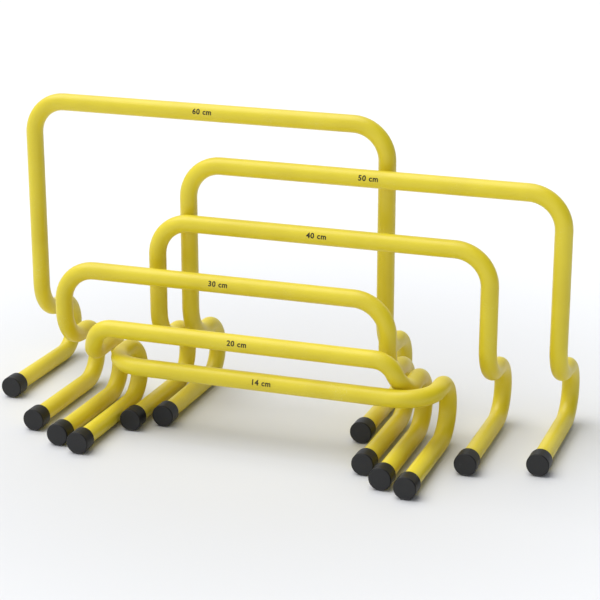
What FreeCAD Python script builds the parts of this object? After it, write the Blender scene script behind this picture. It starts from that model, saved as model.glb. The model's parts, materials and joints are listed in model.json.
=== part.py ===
import FreeCAD, Part
import math
import os
from dataclasses import dataclass

# A graded set of six speed hurdles, nested on the floor. Each hurdle is one bent plastic tube with a
# slip-on cap on each end. X runs along the crossbars, Y from the capped ends of the feet to the rear,
# and Z is up. The origin is on the floor, under the middle of the set's outline. Lengths are in millimetres.

# Tube
tube_od = 33.4
tube_wall = 2.6

# End cap: a round cup pushed over the end of the tube
cap_clearance = 0.1
cap_wall = 4.4
cap_end = 5.0
cap_grip = 26.0
cap_edge_r = 2.5
cap_mouth_r = 1.0

# Legs: a straight foot, a half-circle bend at the rear and a straight arm that comes forward again
foot_run = 201.6
leg_bend_r = 55.4
arm_run = 16.8

# Frames: the distance between the two legs, and the straight part of each post between its two bends
frame_bend_r = 66.1
small_span = 624.7
middle_span = 652.0
large_span = 725.2
post_run_30 = 20.7
post_run_40 = 114.6
post_run_50 = 221.3
post_run_60 = 312.1

# The lowest hurdle's bar lies at the height of its arms, which are a little longer
arm_run_14 = 20.9

# The second lowest hurdle's bar comes down into its arms over a shoulder and a knee, without a post
arm_run_20 = 38.4
shoulder_drop = 64.6
shoulder_back = 14.4
shoulder_out = 28.3
shoulder_bend_share = 0.37
knee_bend_share = 0.61

# Nest: clear gaps between the tubes of neighbouring hurdles, sideways at the legs and front to back at
# the bars. The second lowest hurdle's knees tuck in over the lowest one's bar.
side_gap_20 = 18.9
side_gap_30 = 14.8
side_gap_40 = 12.1
side_gap_50 = 16.2
side_gap_60 = 14.2
knee_tuck = 4.5
row_gap_30 = 33.1
row_gap_40 = 25.6
row_gap_50 = 6.7
row_gap_60 = 9.7

# Sizes worked out from the values above
tube_r = tube_od / 2
bore_r = tube_r - tube_wall
cap_bore_r = tube_r + cap_clearance
cap_r = cap_bore_r + cap_wall
cap_length = cap_end + cap_grip

# The cap is wider than the tube, so a foot that rests on its cap and its rear bend leans down to the rear
rest_lift = cap_r + leg_bend_r
rest_reach = math.hypot(rest_lift, foot_run)
foot_tilt = math.atan2(foot_run, rest_lift) - math.acos((tube_r + leg_bend_r) / rest_reach)
foot_rise = math.sin(foot_tilt)
foot_ahead = math.cos(foot_tilt)
face_z = cap_r * foot_ahead - cap_length * foot_rise

# Rear bend, in the YZ plane of its leg, with Y counted from the face of the cap
foot_length = cap_length + foot_run
bend_y = foot_length * foot_ahead - leg_bend_r * foot_rise
bend_z = tube_r + leg_bend_r
arm_z = bend_z + leg_bend_r
leg_depth = bend_y + leg_bend_r + tube_r


@dataclass
class Corner:
    """One corner of a tube's centre line, and the radius that it is bent to."""

    point: FreeCAD.Vector
    radius: float


@dataclass
class Hurdle:
    """One hurdle: its label, the distance between its legs, and the corners of its right half's frame."""

    label: str
    span: float
    corners: list
    bar_y: float
    left_x: float = 0.0
    face_y: float = 0.0

    @property
    def right_x(self):
        return self.left_x + self.span


def vector(x, y, z):
    return FreeCAD.Vector(x, y, z)


def flat_corners(span, arm):
    """The bar lies in the plane of the arms: one flat bend a side."""
    bar_y = bend_y - arm - frame_bend_r
    return [Corner(vector(span / 2, bar_y, arm_z), frame_bend_r)], bar_y


def shoulder_corners(span, arm):
    """A knee and a shoulder a side, which share the length of the slope between them."""
    slope = vector(-shoulder_out, -shoulder_back, shoulder_drop)
    knee_turn = math.acos(shoulder_back / slope.Length)
    shoulder_turn = math.acos(shoulder_out / slope.Length)
    knee_length = knee_bend_share * slope.Length
    shoulder_length = shoulder_bend_share * slope.Length
    knee = vector(span / 2, bend_y - arm - knee_length, arm_z)
    knee_r = knee_length / math.tan(knee_turn / 2)
    shoulder_r = shoulder_length / math.tan(shoulder_turn / 2)
    return [Corner(knee, knee_r), Corner(knee + slope, shoulder_r)], knee.y - shoulder_back


def post_corners(span, post_run):
    """A post a side: bent up from the arm, and over into the bar."""
    bar_y = bend_y - arm_run - frame_bend_r
    bar_z = arm_z + frame_bend_r + post_run + frame_bend_r
    low = Corner(vector(span / 2, bar_y, arm_z), frame_bend_r)
    high = Corner(vector(span / 2, bar_y, bar_z), frame_bend_r)
    return [low, high], bar_y


def mirrored(point):
    """The same point on the hurdle's left half."""
    return vector(-point.x, point.y, point.z)


def frame_edges(span, corners):
    """Straight runs and tangent arcs from the top of the left leg's bend to the top of the right one's."""
    start = vector(span / 2, bend_y, arm_z)
    half = [Corner(start, 0)] + corners
    route = [Corner(mirrored(corner.point), corner.radius) for corner in half] + half[::-1]
    edges = []
    here = route[0].point
    for before, corner, after in zip(route, route[1:], route[2:]):
        back = (before.point - corner.point).normalize()
        ahead = (after.point - corner.point).normalize()
        half_angle = back.getAngle(ahead) / 2
        reach = corner.radius / math.tan(half_angle)
        entry = corner.point + back * reach
        leave = corner.point + ahead * reach
        middle = (back + ahead).normalize()
        crown = corner.point + middle * (corner.radius / math.sin(half_angle) - corner.radius)
        edges.append(Part.LineSegment(here, entry).toShape())
        edges.append(Part.Arc(entry, crown, leave).toShape())
        here = leave
    edges.append(Part.LineSegment(here, route[-1].point).toShape())
    return edges


def foot_point(x, distance):
    """A point on a foot's centre line, counted from the face of its cap."""
    return vector(x, distance * foot_ahead, face_z + distance * foot_rise)


def leg_edges(x):
    """Foot and rear bend of one leg, from the cut end of the tube to the top of the bend."""
    bend_start = foot_point(x, foot_length)
    rear = vector(x, bend_y + leg_bend_r, bend_z)
    top = vector(x, bend_y, arm_z)
    foot = Part.LineSegment(foot_point(x, cap_end), bend_start).toShape()
    bend = Part.Arc(bend_start, rear, top).toShape()
    return [foot, bend]


def bent_tube(hurdle):
    """The hurdle's hollow tube, swept along its whole centre line."""
    left = leg_edges(-hurdle.span / 2)
    right = leg_edges(hurdle.span / 2)
    path = Part.Wire(left + frame_edges(hurdle.span, hurdle.corners) + right[::-1])
    start = foot_point(-hurdle.span / 2, cap_end)
    direction = vector(0, foot_ahead, foot_rise)
    outside = Part.Wire(Part.makeCircle(tube_r, start, direction))
    inside = Part.Wire(Part.makeCircle(bore_r, start, direction))
    section = Part.Face([outside, inside])
    tube = path.makePipe(section)
    swept = section.Area * path.Length
    share = tube.Volume / swept
    print(f"tube {hurdle.label}: {path.Length:.0f} long, volume {share:.5f} of section times length")
    return tube


def end_cap(x):
    """One cup, turned about its own axis and set on the end of the foot at x."""
    edge_mid = cap_edge_r * (1 - math.sqrt(0.5))
    mouth_mid = cap_mouth_r * (1 - math.sqrt(0.5))
    edge_start = vector(cap_r - cap_edge_r, 0, 0)
    edge_end = vector(cap_r, cap_edge_r, 0)
    mouth_start = vector(cap_r, cap_length - cap_mouth_r, 0)
    mouth_end = vector(cap_r - cap_mouth_r, cap_length, 0)
    edges = [
        Part.LineSegment(vector(0, 0, 0), edge_start),
        Part.Arc(edge_start, vector(cap_r - edge_mid, edge_mid, 0), edge_end),
        Part.LineSegment(edge_end, mouth_start),
        Part.Arc(mouth_start, vector(cap_r - mouth_mid, cap_length - mouth_mid, 0), mouth_end),
        Part.LineSegment(mouth_end, vector(cap_bore_r, cap_length, 0)),
        Part.LineSegment(vector(cap_bore_r, cap_length, 0), vector(cap_bore_r, cap_end, 0)),
        Part.LineSegment(vector(cap_bore_r, cap_end, 0), vector(0, cap_end, 0)),
        Part.LineSegment(vector(0, cap_end, 0), vector(0, 0, 0)),
    ]
    profile = Part.Face(Part.Wire([edge.toShape() for edge in edges]))
    cap = profile.revolve(vector(0, 0, 0), vector(0, 1, 0), 360)
    tilt = FreeCAD.Rotation(vector(1, 0, 0), math.degrees(foot_tilt))
    cap.Placement = FreeCAD.Placement(foot_point(x, 0), tilt)
    return cap


def beside_left(hurdle, neighbour, gap):
    """Stand a hurdle with both its legs to the left of its neighbour's, and the gap on the nearer side."""
    pitch = tube_od + gap
    hurdle.left_x = min(neighbour.left_x - pitch, neighbour.right_x - pitch - hurdle.span)


def beside_right(hurdle, neighbour, gap):
    """The same, with both its legs to the right of its neighbour's."""
    pitch = tube_od + gap
    hurdle.left_x = max(neighbour.left_x + pitch, neighbour.right_x + pitch - hurdle.span)


def behind(hurdle, neighbour, gap):
    """Stand a hurdle so that its bar is behind its neighbour's bar, with the gap between the tubes."""
    hurdle.face_y = neighbour.face_y + neighbour.bar_y + tube_od + gap - hurdle.bar_y


def nest():
    """The six hurdles at their places in the nest, counted from the lowest one's left leg and cap faces."""
    h14 = Hurdle("14", small_span, *flat_corners(small_span, arm_run_14))
    h20 = Hurdle("20", small_span, *shoulder_corners(small_span, arm_run_20))
    h30 = Hurdle("30", middle_span, *post_corners(middle_span, post_run_30))
    h40 = Hurdle("40", middle_span, *post_corners(middle_span, post_run_40))
    h50 = Hurdle("50", large_span, *post_corners(large_span, post_run_50))
    h60 = Hurdle("60", large_span, *post_corners(large_span, post_run_60))
    beside_left(h20, h14, side_gap_20)
    beside_left(h30, h20, side_gap_30)
    beside_left(h60, h30, side_gap_60)
    beside_right(h40, h14, side_gap_40)
    beside_right(h50, h40, side_gap_50)
    knee_y = h20.corners[0].point.y
    h20.face_y = h14.face_y + h14.bar_y + tube_od - knee_tuck - knee_y
    behind(h30, h20, row_gap_30)
    behind(h40, h30, row_gap_40)
    behind(h50, h40, row_gap_50)
    behind(h60, h50, row_gap_60)
    return [h14, h20, h30, h40, h50, h60]


def build():
    """Write every piece of every hurdle, with the middle of the set's outline over the origin."""
    hurdles = nest()
    low_x = min(hurdle.left_x for hurdle in hurdles) - cap_r
    high_x = max(hurdle.right_x for hurdle in hurdles) + cap_r
    low_y = min(hurdle.face_y for hurdle in hurdles)
    high_y = max(hurdle.face_y for hurdle in hurdles) + leg_depth
    os.makedirs("parts", exist_ok=True)
    for hurdle in hurdles:
        middle_x = (hurdle.left_x + hurdle.right_x - low_x - high_x) / 2
        place = vector(middle_x, hurdle.face_y - (low_y + high_y) / 2, 0)
        pieces = {
            "tube_" + hurdle.label: bent_tube(hurdle),
            "left_cap_" + hurdle.label: end_cap(-hurdle.span / 2),
            "right_cap_" + hurdle.label: end_cap(hurdle.span / 2),
        }
        top_z = max(corner.point.z for corner in hurdle.corners) + tube_r
        print(f"hurdle {hurdle.label}: {top_z:.1f} high, middle x {middle_x:.1f}, cap faces y {place.y:.1f}")
        for name, shape in pieces.items():
            shape.translate(place)
            shape.exportStep(os.path.join("parts", name + ".step"))


build()
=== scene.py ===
"""Finishes, studio light and camera for a nested set of six speed hurdles.

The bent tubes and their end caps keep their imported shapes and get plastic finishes. Each crossbar also
carries its height as a plain printed number. Lengths are in metres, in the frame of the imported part.
"""

import json
import logging
import math
from abc import ABC, abstractmethod
from dataclasses import dataclass
from enum import Enum

import bmesh
import bpy
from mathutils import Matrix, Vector


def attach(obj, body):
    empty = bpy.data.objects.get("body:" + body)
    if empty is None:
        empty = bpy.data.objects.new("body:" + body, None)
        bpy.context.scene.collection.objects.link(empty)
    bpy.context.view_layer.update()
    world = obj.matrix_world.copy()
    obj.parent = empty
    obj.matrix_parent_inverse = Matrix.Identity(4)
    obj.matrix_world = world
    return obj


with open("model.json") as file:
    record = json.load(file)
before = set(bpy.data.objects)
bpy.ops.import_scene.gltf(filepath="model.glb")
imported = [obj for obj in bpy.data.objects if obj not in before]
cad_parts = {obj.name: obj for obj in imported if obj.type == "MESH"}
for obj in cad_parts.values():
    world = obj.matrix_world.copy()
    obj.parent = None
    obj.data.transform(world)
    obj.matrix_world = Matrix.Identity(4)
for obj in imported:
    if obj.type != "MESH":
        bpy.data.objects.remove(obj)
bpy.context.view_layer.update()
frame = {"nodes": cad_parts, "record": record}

log = logging.getLogger("hurdles")

Colour = tuple[float, float, float]
Direction = tuple[float, float, float]
Point = tuple[float, float, float]
Material = bpy.types.Material
Node = bpy.types.Node
Port = bpy.types.NodeSocket

LABELS = ("14", "20", "30", "40", "50", "60")
QUARTER_TURN = math.radians(90.0)


class Side(Enum):
    """The two ends of a hurdle's tube."""

    LEFT = "left"
    RIGHT = "right"


class Kind(Enum):
    """What a socket of a shared effect carries."""

    VALUE = "NodeSocketFloat"
    COLOUR = "NodeSocketColor"


class Coordinates(Enum):
    """What a pattern, a tone or a light follows."""

    POINT = "Object"
    FACING = "Normal"
    SKY = "Generated"


class Sum(Enum):
    """The ways in which values are put together."""

    ADD = "ADD"
    MULTIPLY = "MULTIPLY"
    DIVIDE = "DIVIDE"
    LARGEST = "MAXIMUM"


@dataclass(frozen=True)
class Ramp:
    """The stretch of a value over which a result changes smoothly.

    Attributes:
        low: Where the change begins.
        high: Where it is complete.
    """

    low: float = 0.0
    high: float = 1.0


@dataclass(frozen=True)
class Socket:
    """One named socket of a shared effect.

    Attributes:
        name: The socket's name.
        value: The default of an input; outputs have none.
        kind: What the socket carries.
    """

    name: str
    value: float | tuple[float, ...] | None = None
    kind: Kind = Kind.VALUE


def opaque(colour: Colour) -> tuple[float, float, float, float]:
    """Give a colour with full alpha."""
    return (*colour, 1.0)


class Board:
    """Adds and joins the nodes of one material, effect or world.

    Attributes:
        tree: The tree that the nodes go into.
        mix_first: Place of the first colour among the inputs of a Mix node.
        mix_second: Place of the second colour there.
        mix_result: Place of the mixed colour among the node's outputs.
    """

    mix_first = 6
    mix_second = 7
    mix_result = 2

    def __init__(self, tree: bpy.types.NodeTree) -> None:
        """Keep the tree that the nodes go into."""
        self.tree = tree

    def add(self, kind: str, **settings: object) -> Node:
        """Add a node.

        Args:
            kind: Blender's node type.
            **settings: Properties of the node, or values of its inputs, by name with spaces as underscores.

        Returns:
            The new node.
        """
        node = self.tree.nodes.new(kind)
        for name, value in settings.items():
            if hasattr(node, name):
                setattr(node, name, value)
            else:
                node.inputs[name.replace("_", " ")].default_value = value
        return node

    def feed(self, target: Port, source: Port | float | tuple[float, ...] | Vector) -> None:
        """Link an input to an output, or set it to a fixed value.

        Args:
            target: The input.
            source: The output to link, or the value to set.
        """
        if isinstance(source, Port):
            self.tree.links.new(source, target)
        else:
            target.default_value = source

    def coordinates(self, kind: Coordinates) -> Port:
        """Give the coordinates of one kind."""
        return self.add("ShaderNodeTexCoord").outputs[kind.value]

    def cosine(self, direction: Port, towards: Direction) -> Port:
        """Measure how squarely a direction points a fixed way.

        Args:
            direction: The direction, of length 1.
            towards: The fixed way, of any length.

        Returns:
            The cosine of the angle between the two.
        """
        node = self.add("ShaderNodeVectorMath", operation="DOT_PRODUCT")
        self.feed(node.inputs[0], direction)
        self.feed(node.inputs[1], Vector(towards).normalized())
        return node.outputs["Value"]

    def noise(self, place: Port, size: Port, layers: float) -> Port:
        """Add a noise whose features are about one size across.

        Args:
            place: The coordinates.
            size: The feature size in metres, the same every way or one along each axis.
            layers: How many finer layers it has.

        Returns:
            The noise, from 0 to 1.
        """
        scaled = self.add("ShaderNodeVectorMath", operation="DIVIDE")
        self.feed(scaled.inputs[0], place)
        self.feed(scaled.inputs[1], size)
        noise = self.add("ShaderNodeTexNoise", Scale=1.0, Detail=layers)
        self.feed(noise.inputs["Vector"], scaled.outputs["Vector"])
        return noise.outputs["Fac"]

    def spread(self, value: Port, ramp: Ramp, start: Port | float = 0.0, end: Port | float = 1.0) -> Port:
        """Map a stretch of a value smoothly to a range, and clamp it there.

        Args:
            value: The value to map.
            ramp: The stretch of the value that is mapped.
            start: The result up to the stretch's low end.
            end: The result from its high end on.

        Returns:
            The mapped value.
        """
        node = self.add("ShaderNodeMapRange", interpolation_type="SMOOTHSTEP")
        self.feed(node.inputs["Value"], value)
        self.feed(node.inputs["From Min"], ramp.low)
        self.feed(node.inputs["From Max"], ramp.high)
        self.feed(node.inputs["To Min"], start)
        self.feed(node.inputs["To Max"], end)
        return node.outputs["Result"]

    def combine(self, way: Sum, first: Port, *others: Port | float) -> Port:
        """Put values together one after the other.

        Args:
            way: How they are put together.
            first: The first value.
            *others: The values that follow.

        Returns:
            The result.
        """
        result = first
        for other in others:
            node = self.add("ShaderNodeMath", operation=way.value)
            self.feed(node.inputs[0], result)
            self.feed(node.inputs[1], other)
            result = node.outputs["Value"]
        return result

    def mix(self, share: Port, first: Port | tuple[float, ...], second: Port | tuple[float, ...]) -> Port:
        """Mix two colours, each with its alpha where it is a fixed one.

        Args:
            share: How much of the second colour shows.
            first: The colour at 0.
            second: The colour at 1.

        Returns:
            The mixed colour.
        """
        node = self.add("ShaderNodeMix", data_type="RGBA")
        self.feed(node.inputs["Factor"], share)
        self.feed(node.inputs[self.mix_first], first)
        self.feed(node.inputs[self.mix_second], second)
        return node.outputs[self.mix_result]


def blank_material(name: str, **settings: float) -> tuple[Material, Board, Node]:
    """Make a material that holds only its shader.

    Args:
        name: The material's name.
        **settings: Values that are the same all over, by the shader's names with spaces as underscores.

    Returns:
        The material, the board of its tree and its shader.
    """
    made = bpy.data.materials.new(name)
    made.use_nodes = True
    made.node_tree.nodes.clear()
    board = Board(made.node_tree)
    shader = board.add("ShaderNodeBsdfPrincipled", **settings)
    out = board.add("ShaderNodeOutputMaterial")
    board.feed(out.inputs["Surface"], shader.outputs["BSDF"])
    return made, board, shader


class Effect(ABC):
    """A surface effect that several finishes share, kept as one node group.

    Attributes:
        name: The group's name.
        inputs: What each finish sets.
        outputs: What the effect gives, which varies over the surface.
    """

    name: str
    inputs: tuple[Socket, ...]
    outputs: tuple[Socket, ...]

    @abstractmethod
    def wire(self, board: Board, given: Node, made: Node) -> None:
        """Wire the effect between its inputs and its outputs.

        Args:
            board: The board of the group's tree.
            given: The group's input node.
            made: The group's output node.
        """

    def tree(self) -> bpy.types.NodeTree:
        """Build the group once.

        Returns:
            The group's tree.
        """
        known = bpy.data.node_groups.get(self.name)
        if known:
            return known
        tree = bpy.data.node_groups.new(self.name, "ShaderNodeTree")
        for socket in self.inputs:
            made = tree.interface.new_socket(socket.name, in_out="INPUT", socket_type=socket.kind.value)
            made.default_value = socket.value
        for socket in self.outputs:
            tree.interface.new_socket(socket.name, in_out="OUTPUT", socket_type=socket.kind.value)
        board = Board(tree)
        self.wire(board, board.add("NodeGroupInput"), board.add("NodeGroupOutput"))
        return tree

    def place(self, board: Board, **values: float | tuple[float, ...]) -> Node:
        """Put the effect into a material, with its own values by name with spaces as underscores."""
        return board.add("ShaderNodeGroup", node_tree=self.tree(), **values)


class ColourDrift(Effect):
    """A pigment that is a little deeper in some places than in others.

    Attributes:
        patch_layers: Finer layers of the patches.
        patch_ramp: Where in the patches' noise the pigment deepens.
    """

    name = "colour_drift"
    inputs = (
        Socket("Colour", (0.8, 0.8, 0.8, 1.0), Kind.COLOUR),
        Socket("Deep Colour", (0.7, 0.7, 0.7, 1.0), Kind.COLOUR),
        Socket("Patch Size", 0.08),
    )
    outputs = (Socket("Colour", kind=Kind.COLOUR),)
    patch_layers = 2.0
    patch_ramp = Ramp(0.35, 0.7)

    def wire(self, board: Board, given: Node, made: Node) -> None:
        """Wire slow patches between the two colours.

        Args:
            board: The board of the group's tree.
            given: The group's input node.
            made: The group's output node.
        """
        place = board.coordinates(Coordinates.POINT)
        patches = board.noise(place, given.outputs["Patch Size"], self.patch_layers)
        share = board.spread(patches, self.patch_ramp)
        colour = board.mix(share, given.outputs["Colour"], given.outputs["Deep Colour"])
        board.feed(made.inputs["Colour"], colour)


class Handling(Effect):
    """The gloss of a surface that hands and bags have rubbed, with fine scuffs and hairline scratches.

    Attributes:
        patch_layers: Finer layers of the rubbed patches.
        speck_layers: Finer layers of the scuffs.
        line_layers: Finer layers of the scratches.
        gloss_ramp: Where in the patches' noise the gloss dulls.
        worn_ramp: Where in the patches' noise scuffs and scratches come in.
        speck_ramp: Where in the scuffs' noise a scuff shows.
        line_ramp: Where in the scratches' noise a scratch shows.
        headings: The ways in which scratches run, as turns about X, Y and Z in radians.
    """

    name = "handling"
    inputs = (
        Socket("Smooth", 0.3),
        Socket("Rubbed", 0.5),
        Socket("Scuffed", 0.6),
        Socket("Patch Size", 0.05),
        Socket("Scuff Size", 0.004),
        Socket("Line Length", 0.045),
        Socket("Line Width", 0.0007),
    )
    outputs = (Socket("Roughness"), Socket("Scuff"))
    patch_layers = 3.0
    speck_layers = 4.0
    line_layers = 1.0
    gloss_ramp = Ramp(0.3, 0.7)
    worn_ramp = Ramp(0.47, 0.75)
    speck_ramp = Ramp(0.60, 0.72)
    line_ramp = Ramp(0.62, 0.74)
    headings = ((0.2, 0.1, 0.15), (0.4, 0.3, 1.45), (0.1, 1.35, 0.5))

    def hairlines(self, board: Board, given: Node, place: Port) -> Port:
        """Wire thin scratches that run in a few directions.

        Args:
            board: The board of the group's tree.
            given: The group's input node.
            place: The coordinates.

        Returns:
            The mask of the scratches.
        """
        size = board.add("ShaderNodeCombineXYZ")
        board.feed(size.inputs["X"], given.outputs["Line Length"])
        board.feed(size.inputs["Y"], given.outputs["Line Width"])
        board.feed(size.inputs["Z"], given.outputs["Line Width"])
        masks = []
        for heading in self.headings:
            turned = board.add("ShaderNodeVectorRotate", rotation_type="EULER_XYZ", Rotation=heading)
            board.feed(turned.inputs["Vector"], place)
            streaks = board.noise(turned.outputs["Vector"], size.outputs["Vector"], self.line_layers)
            masks.append(board.spread(streaks, self.line_ramp))
        return board.combine(Sum.LARGEST, *masks)

    def wire(self, board: Board, given: Node, made: Node) -> None:
        """Wire patches of gloss, and scuffs and hairlines inside the duller ones.

        Args:
            board: The board of the group's tree.
            given: The group's input node.
            made: The group's output node.
        """
        place = board.coordinates(Coordinates.POINT)
        patches = board.noise(place, given.outputs["Patch Size"], self.patch_layers)
        fine = board.noise(place, given.outputs["Scuff Size"], self.speck_layers)
        dull = board.spread(patches, self.gloss_ramp, given.outputs["Smooth"], given.outputs["Rubbed"])
        worn = board.spread(patches, self.worn_ramp)
        specks = board.spread(fine, self.speck_ramp)
        marks = board.combine(Sum.LARGEST, specks, self.hairlines(board, given, place))
        scuff = board.combine(Sum.MULTIPLY, worn, marks)
        rough = board.spread(scuff, Ramp(), dull, given.outputs["Scuffed"])
        board.feed(made.inputs["Roughness"], rough)
        board.feed(made.inputs["Scuff"], scuff)


class FloorGrime(Effect):
    """Dust and rubbed dirt low down, where a piece slides over the floor.

    Attributes:
        patch_layers: Finer layers of the patches.
        patch_ramp: Where in the patches' noise the dirt thickens.
        thinnest: Share of the dirt that lies between the patches.
    """

    name = "floor_grime"
    inputs = (Socket("Reach", 0.012), Socket("Patch Size", 0.02))
    outputs = (Socket("Grime"),)
    patch_layers = 5.0
    patch_ramp = Ramp(0.35, 0.65)
    thinnest = 0.25

    def wire(self, board: Board, given: Node, made: Node) -> None:
        """Wire a mask that fades out upwards and is broken into patches.

        Args:
            board: The board of the group's tree.
            given: The group's input node.
            made: The group's output node.
        """
        place = board.coordinates(Coordinates.POINT)
        apart = board.add("ShaderNodeSeparateXYZ")
        board.feed(apart.inputs["Vector"], place)
        height = board.combine(Sum.DIVIDE, apart.outputs["Z"], given.outputs["Reach"])
        low_down = board.spread(height, Ramp(), start=1.0, end=0.0)
        patches = board.noise(place, given.outputs["Patch Size"], self.patch_layers)
        broken = board.spread(patches, self.patch_ramp, start=self.thinnest)
        board.feed(made.inputs["Grime"], board.combine(Sum.MULTIPLY, low_down, broken))


class MouldGrain(Effect):
    """The fine grain that a die or mould leaves on plastic.

    Attributes:
        grain_layers: Finer layers of the grain.
        ripple_layers: Finer layers of the ripple under it.
    """

    name = "mould_grain"
    inputs = (
        Socket("Grain Size", 0.001),
        Socket("Ripple Size", 0.012),
        Socket("Ripple Share", 0.5),
    )
    outputs = (Socket("Height"),)
    grain_layers = 2.0
    ripple_layers = 1.0

    def wire(self, board: Board, given: Node, made: Node) -> None:
        """Wire a fine grain over a slower ripple.

        Args:
            board: The board of the group's tree.
            given: The group's input node.
            made: The group's output node.
        """
        place = board.coordinates(Coordinates.POINT)
        height = board.add("ShaderNodeMix", data_type="FLOAT")
        board.feed(height.inputs["Factor"], given.outputs["Ripple Share"])
        board.feed(height.inputs["A"], board.noise(place, given.outputs["Grain Size"], self.grain_layers))
        board.feed(height.inputs["B"], board.noise(place, given.outputs["Ripple Size"], self.ripple_layers))
        board.feed(made.inputs["Height"], height.outputs["Result"])


@dataclass(frozen=True, kw_only=True)
class PlasticFinish:
    """A moulded or extruded plastic surface.

    Attributes:
        name: The material's name.
        colour: The pigment, in linear light.
        deep_colour: The pigment where it is deepest.
        scuff_colour: The colour of fine scuffs and scratches.
        grime_colour: The colour of what the floor leaves.
        smooth: Roughness where the surface is fresh.
        rubbed: Roughness where it is handled most.
        scuffed: Roughness in a scuff or scratch.
        grain_size: Width of the finest grain.
        grain_depth: Depth of the grain.
        grime_reach: Height over the floor that grime reaches.
        specular: How strongly the surface mirrors, where a half is usual.
        refraction: The refractive index of the plastic.
    """

    name: str
    colour: Colour
    deep_colour: Colour
    scuff_colour: Colour
    grime_colour: Colour
    smooth: float
    rubbed: float
    scuffed: float
    grain_size: float
    grain_depth: float
    grime_reach: float
    specular: float = 0.5
    refraction: float = 1.5

    def pigment(self, board: Board) -> Port:
        """Wire the colour of the clean plastic.

        Args:
            board: The board of the material's tree.

        Returns:
            The colour.
        """
        drift = ColourDrift().place(
            board,
            Colour=opaque(self.colour),
            Deep_Colour=opaque(self.deep_colour),
        )
        return drift.outputs["Colour"]

    def material(self) -> Material:
        """Build the material.

        Returns:
            The node-based material.
        """
        made, board, shader = blank_material(
            self.name,
            IOR=self.refraction,
            Specular_IOR_Level=self.specular,
        )
        handling = Handling().place(board, Smooth=self.smooth, Rubbed=self.rubbed, Scuffed=self.scuffed)
        grime = FloorGrime().place(board, Reach=self.grime_reach)
        grain = MouldGrain().place(board, Grain_Size=self.grain_size)
        scuffed = board.mix(handling.outputs["Scuff"], self.pigment(board), opaque(self.scuff_colour))
        soiled = board.mix(grime.outputs["Grime"], scuffed, opaque(self.grime_colour))
        bump = board.add("ShaderNodeBump", Distance=self.grain_depth)
        board.feed(bump.inputs["Height"], grain.outputs["Height"])
        board.feed(shader.inputs["Base Color"], soiled)
        board.feed(shader.inputs["Roughness"], handling.outputs["Roughness"])
        board.feed(shader.inputs["Normal"], bump.outputs["Normal"])
        return made


@dataclass(frozen=True, kw_only=True)
class CapFinish(PlasticFinish):
    """Moulded black plastic whose flat front is painted paler than its sides, as a painted reflection of
    the bright floor in front of it.

    Attributes:
        front: The way that the flat front faces.
        painted_reflection_colour: The colour of the flat front, paler than the sides as a painted
            reflection.
        front_edge: How square to the front a face is where the painted reflection begins, as a cosine.
        front_full: How square to the front it is where the painted reflection is full, as a cosine.
    """

    front: Direction = (0.0, -1.0, 0.0)
    painted_reflection_colour: Colour
    front_edge: float = 0.80
    front_full: float = 0.97

    def pigment(self, board: Board) -> Port:
        """Wire the colour of the sides, and over it the paler front, which is a painted reflection.

        Args:
            board: The board of the material's tree.

        Returns:
            The colour.
        """
        squareness = board.cosine(board.coordinates(Coordinates.FACING), self.front)
        # Faces square to the front get the paler colour: a painted reflection of the bright floor.
        painted_reflection_share = board.spread(squareness, Ramp(self.front_edge, self.front_full))
        return board.mix(painted_reflection_share, super().pigment(board), opaque(self.painted_reflection_colour))


@dataclass(frozen=True)
class FloorFinish:
    """The plain pale floor of the studio, with painted shade round the part, so that it is darker near the
    middle.

    Attributes:
        painted_shade_colour: The floor's colour round the part, darkened as painted shade, in linear light.
        far_colour: The floor's colour away from it.
        painted_shade_reach: How far from the middle the painted shade holds.
        far_reach: Where the far colour begins.
        roughness: The floor's roughness.
    """

    painted_shade_colour: Colour = (0.668, 0.672, 0.682)
    far_colour: Colour = (0.83, 0.84, 0.855)
    painted_shade_reach: float = 0.3
    far_reach: float = 1.5
    roughness: float = 0.7

    def material(self) -> Material:
        """Build the material.

        Returns:
            The node-based material.
        """
        made, board, shader = blank_material("pale_floor", Roughness=self.roughness)
        distance = board.add("ShaderNodeVectorMath", operation="LENGTH")
        board.feed(distance.inputs[0], board.coordinates(Coordinates.POINT))
        away = board.spread(distance.outputs["Value"], Ramp(self.painted_shade_reach, self.far_reach))
        # Painted shade: the floor is darker round the part and fades out to the far colour.
        colour = board.mix(away, opaque(self.painted_shade_colour), opaque(self.far_colour))
        board.feed(shader.inputs["Base Color"], colour)
        return made


TUBE_PLASTIC = PlasticFinish(
    name="yellow_pipe",
    colour=(0.755, 0.615, 0.022),
    deep_colour=(0.715, 0.575, 0.018),
    scuff_colour=(0.78, 0.67, 0.13),
    grime_colour=(0.30, 0.25, 0.10),
    smooth=0.36,
    rubbed=0.46,
    scuffed=0.62,
    grain_size=0.0012,
    grain_depth=0.00006,
    grime_reach=0.007,
)

CAP_PLASTIC = CapFinish(
    name="black_moulding",
    colour=(0.008, 0.008, 0.008),
    deep_colour=(0.006, 0.006, 0.006),
    scuff_colour=(0.045, 0.045, 0.045),
    grime_colour=(0.08, 0.078, 0.075),
    smooth=0.42,
    rubbed=0.52,
    scuffed=0.68,
    grain_size=0.0007,
    grain_depth=0.00010,
    grime_reach=0.006,
    specular=0.3,
    # The paler flat front is a painted reflection of the bright floor.
    painted_reflection_colour=(0.022, 0.022, 0.022),
)

PRINT_INK = PlasticFinish(
    name="print_ink",
    colour=(0.020, 0.016, 0.010),
    deep_colour=(0.028, 0.022, 0.012),
    scuff_colour=(0.16, 0.12, 0.03),
    grime_colour=(0.10, 0.08, 0.04),
    smooth=0.42,
    rubbed=0.55,
    scuffed=0.68,
    grain_size=0.0008,
    grain_depth=0.00004,
    grime_reach=0.001,
    specular=0.3,
)


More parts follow.
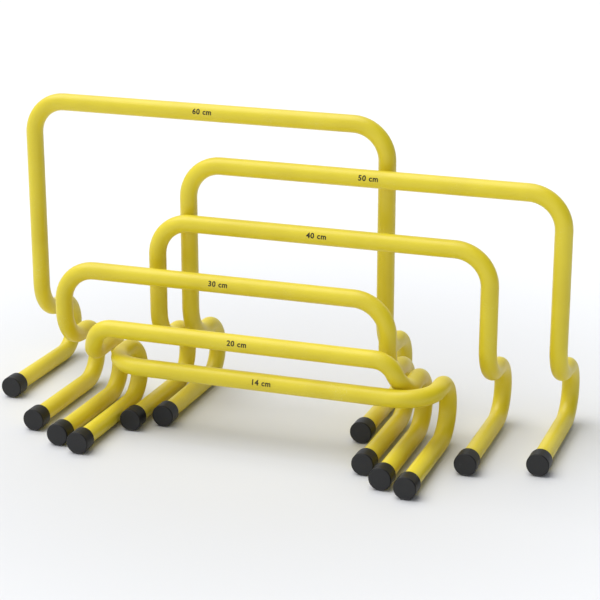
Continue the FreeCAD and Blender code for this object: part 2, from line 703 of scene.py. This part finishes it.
@dataclass(frozen=True)
class SoftPanel:
    """A soft patch of the room's light, brightest in its middle.

    Attributes:
        towards: Direction of its middle, seen from the part.
        strength: Its brightness in the middle.
        edge: Where it has faded out, as a cosine to its middle.
    """

    towards: Direction
    strength: float
    edge: float

    def glow(self, board: Board, direction: Port) -> Port:
        """Wire the panel's brightness.

        Args:
            board: The board of the world's tree.
            direction: The direction that is looked in.

        Returns:
            The brightness in that direction.
        """
        nearness = board.cosine(direction, self.towards)
        return board.spread(nearness, Ramp(low=self.edge), end=self.strength)


FRONT_LEFT = SoftPanel(
    towards=(-0.5, -0.75, 0.45),
    strength=0.88,
    edge=-0.2,
)

BACKDROP = SoftPanel(
    towards=(-0.20, 1.00, 0.25),
    strength=0.75,
    edge=0.4,
)


@dataclass(frozen=True)
class PrintedHeight:
    """A height in centimetres, printed on the front of a crossbar.

    Attributes:
        slot: A material slot's name, which is not used.
        letter_size: Size of the type.
        spacing: How far apart the letters are set, where 1 is usual.
        weight: How far the strokes are thickened on each side.
        film: Thickness of the print that stands over the tube.
        root: How far the print reaches into the tube's surface.
        strip: Height of the strips that follow the tube's curve.
        turn: How far above the bar's front the print is centred.
        weld: Points nearer to each other than this are one.
        wall_rise: A face whose normal rises less than this is a side of a stroke.
        mitre: Least cosine at a corner, so that a sharp one doesn't run out into a point.
    """

    slot: str = "black_cap"
    letter_size: float = 0.0142
    spacing: float = 1.12
    weight: float = 0.00045
    film: float = 0.00006
    root: float = 0.00020
    strip: float = 0.0006
    turn: float = math.radians(14.0)
    weld: float = 1e-6
    wall_rise: float = 0.5
    mitre: float = 0.5

    def flat_type(self, words: str) -> bpy.types.Mesh:
        """Set the words flat, as a closed solid of the print's thickness.

        Args:
            words: What is printed.

        Returns:
            The mesh, centred, with its front towards +Z.
        """
        curve = bpy.data.curves.new("type", "FONT")
        curve.body = words
        curve.size = self.letter_size
        curve.space_character = self.spacing
        curve.align_x = "CENTER"
        curve.align_y = "CENTER"
        curve.extrude = (self.film + self.root) / 2
        setter = bpy.data.objects.new("type", curve)
        bpy.context.scene.collection.objects.link(setter)
        graph = bpy.context.evaluated_depsgraph_get()
        mesh = bpy.data.meshes.new_from_object(setter.evaluated_get(graph))
        bpy.data.objects.remove(setter)
        bpy.data.curves.remove(curve)
        return mesh

    def embolden(self, shape: bmesh.types.BMesh) -> None:
        """Move the sides of the strokes outwards, which thickens them.

        Args:
            shape: The flat type, as a closed solid.
        """
        moves = {}
        for vert in shape.verts:
            walls = [face.normal for face in vert.link_faces if abs(face.normal.z) < self.wall_rise]
            outwards = sum(walls, Vector()).normalized()
            sharpest = min(outwards.dot(wall) for wall in walls)
            moves[vert] = outwards * self.weight / max(sharpest, self.mitre)
        for vert, move in moves.items():
            vert.co += move

    def cut_strips(self, shape: bmesh.types.BMesh) -> None:
        """Cut the type across into strips, so that it can bend.

        Args:
            shape: The flat type.
        """
        strips = math.ceil(self.letter_size / self.strip)
        for cut in range(1 - strips, strips):
            bmesh.ops.bisect_plane(
                shape,
                geom=[*shape.verts, *shape.edges, *shape.faces],
                plane_co=(0.0, cut * self.strip, 0.0),
                plane_no=(0.0, 1.0, 0.0),
                dist=self.weld,
            )

    def wrap(self, shape: bmesh.types.BMesh, middle: Vector, radius: float) -> None:
        """Bend the type round the front of a bar that runs along X.

        Args:
            shape: The flat type, cut into strips.
            middle: Middle of the bar's centre line.
            radius: The tube's outside radius.
        """
        lift = (self.film - self.root) / 2
        for vert in shape.verts:
            angle = self.turn + vert.co.y / radius
            reach = radius + lift + vert.co.z
            ahead = Vector((vert.co.x, -reach * math.cos(angle), reach * math.sin(angle)))
            vert.co = middle + ahead

    def build(self, name: str, words: str, middle: Vector, radius: float) -> bpy.types.Object:
        """Print the words on the front of a bar that runs along X.

        Args:
            name: The piece's name.
            words: What is printed.
            middle: Middle of the bar's centre line.
            radius: The tube's outside radius.

        Returns:
            The print.
        """
        mesh = self.flat_type(words)
        shape = bmesh.new()
        shape.from_mesh(mesh)
        bmesh.ops.remove_doubles(shape, verts=shape.verts, dist=self.weld)
        bmesh.ops.recalc_face_normals(shape, faces=shape.faces)
        self.embolden(shape)
        self.cut_strips(shape)
        self.wrap(shape, middle, radius)
        bmesh.ops.recalc_face_normals(shape, faces=shape.faces)
        shape.to_mesh(mesh)
        shape.free()
        mesh.name = name
        piece = bpy.data.objects.new(name, mesh)
        bpy.context.scene.collection.objects.link(piece)
        return piece


@dataclass(frozen=True)
class Hurdle:
    """One hurdle of the nest: its tube, its two end caps and the height on its crossbar.

    Attributes:
        label: The hurdle's height in centimetres, as the part's names have it.
        tube_radius: The tube's outside radius.
        printing: How the height is printed.
    """

    label: str
    tube_radius: float = 0.0167
    printing: PrintedHeight = PrintedHeight()

    @property
    def body(self) -> str:
        """The hurdle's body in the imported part."""
        return "hurdle_" + self.label

    @property
    def tube(self) -> bpy.types.Object:
        """The hurdle's bent tube."""
        return frame["nodes"]["tube_" + self.label]

    def cap(self, side: Side) -> bpy.types.Object:
        """The end cap on one side."""
        return frame["nodes"][f"{side.value}_cap_{self.label}"]

    def bar_middle(self) -> Vector:
        """Find the middle of the crossbar's centre line, below the mount on top of the bar.

        Returns:
            The point, in metres.
        """
        mount = next(m for m in frame["record"]["mounts"] if m["name"] == "bar_clip_" + self.label)
        return Vector(mount["pos_m"]) - Vector((0.0, 0.0, self.tube_radius))

    def build(self) -> bpy.types.Object:
        """Print the height on the crossbar.

        Returns:
            The print.
        """
        piece = self.printing.build(
            name="height_print_" + self.label,
            words=f"{self.label} cm",
            middle=self.bar_middle(),
            radius=self.tube_radius,
        )
        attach(piece, self.body)
        return piece

    def dress(self, pipe: Material, moulding: Material, ink: Material) -> None:
        """Give every piece of the hurdle its finish, and report it.

        Args:
            pipe: The tube's material.
            moulding: The caps' material.
            ink: The print's material.
        """
        finishes = {self.tube: pipe, self.build(): ink}
        for side in Side:
            finishes[self.cap(side)] = moulding
        for piece, material in finishes.items():
            piece.data.materials.clear()
            piece.data.materials.append(material)
            log.info("%s: %s", piece.name, material.name)


@dataclass(frozen=True)
class Studio:
    """A pale floor, a soft main light from the upper left, soft panels round the part, and the camera.

    Attributes:
        floor_size: Side of the floor.
        panels: The soft panels round the part.
        fill: Strength of the room's light everywhere.
        room_colour: Colour of the room's light and its panels.
        key_from: Where the main light comes from.
        key_spread: How wide the main light looks from the part.
        key_power: Strength of the main light, in watts per square metre.
        key_colour: Colour of the main light.
        lens: Focal length, in millimetres.
        sensor: Width of the camera's sensor, in millimetres.
        sight: How far the camera sees, which is past the floor's corners.
        eye: Place of the camera.
        pitch: How far down the camera looks.
        yaw: How far to the left it looks.
    """

    floor_size: float = 400.0
    panels: tuple[SoftPanel, ...] = (FRONT_LEFT, BACKDROP)
    fill: float = 0.05
    room_colour: Colour = (0.95, 0.98, 1.05)
    key_from: Direction = (-0.38, 0.05, 1.0)
    key_spread: float = math.radians(60.0)
    key_power: float = 2.45
    key_colour: Colour = (1.0, 0.99, 0.96)
    lens: float = 111.29
    sensor: float = 36.0
    sight: float = 800.0
    eye: Point = (1.1356, -3.1050, 1.3269)
    pitch: float = math.radians(18.07)
    yaw: float = math.radians(19.16)

    def lay_floor(self) -> None:
        """Lay the floor under the part."""
        half = self.floor_size / 2
        corners = [(-half, -half, 0.0), (half, -half, 0.0), (half, half, 0.0), (-half, half, 0.0)]
        mesh = bpy.data.meshes.new("floor")
        mesh.from_pydata(corners, [], [range(len(corners))])
        mesh.materials.append(FloorFinish().material())
        floor = bpy.data.objects.new("floor", mesh)
        bpy.context.scene.collection.objects.link(floor)

    def hang_key(self) -> None:
        """Hang the main light."""
        lamp = bpy.data.lights.new("key", "SUN")
        lamp.angle = self.key_spread
        lamp.energy = self.key_power
        lamp.color = self.key_colour
        key = bpy.data.objects.new("key", lamp)
        key.rotation_euler = (-Vector(self.key_from)).to_track_quat("-Z", "Y").to_euler()
        bpy.context.scene.collection.objects.link(key)

    def light_room(self) -> None:
        """Set up the panels round the part, and the light between them."""
        world = bpy.data.worlds.new("studio")
        world.use_nodes = True
        board = Board(world.node_tree)
        direction = board.coordinates(Coordinates.SKY)
        glows = [panel.glow(board, direction) for panel in self.panels]
        sky = world.node_tree.nodes["Background"]
        board.feed(sky.inputs["Color"], opaque(self.room_colour))
        board.feed(sky.inputs["Strength"], board.combine(Sum.ADD, *glows, self.fill))
        bpy.context.scene.world = world

    def stand_camera(self) -> None:
        """Stand the camera where the photograph was taken from, with plain tones."""
        optics = bpy.data.cameras.new("camera")
        optics.lens = self.lens
        optics.sensor_width = self.sensor
        optics.clip_end = self.sight
        camera = bpy.data.objects.new("camera", optics)
        camera.location = self.eye
        camera.rotation_euler = (QUARTER_TURN - self.pitch, 0.0, self.yaw)
        bpy.context.scene.collection.objects.link(camera)
        bpy.context.scene.camera = camera
        bpy.context.scene.view_settings.view_transform = "Standard"

    def build(self) -> None:
        """Set up the whole studio."""
        self.lay_floor()
        self.hang_key()
        self.light_room()
        self.stand_camera()


def main() -> None:
    """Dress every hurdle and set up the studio."""
    logging.basicConfig(level=logging.INFO, format="%(name)s: %(message)s")
    pipe = TUBE_PLASTIC.material()
    moulding = CAP_PLASTIC.material()
    ink = PRINT_INK.material()
    for label in LABELS:
        Hurdle(label).dress(pipe, moulding, ink)
    Studio().build()


if __name__ == "__main__":
    main()
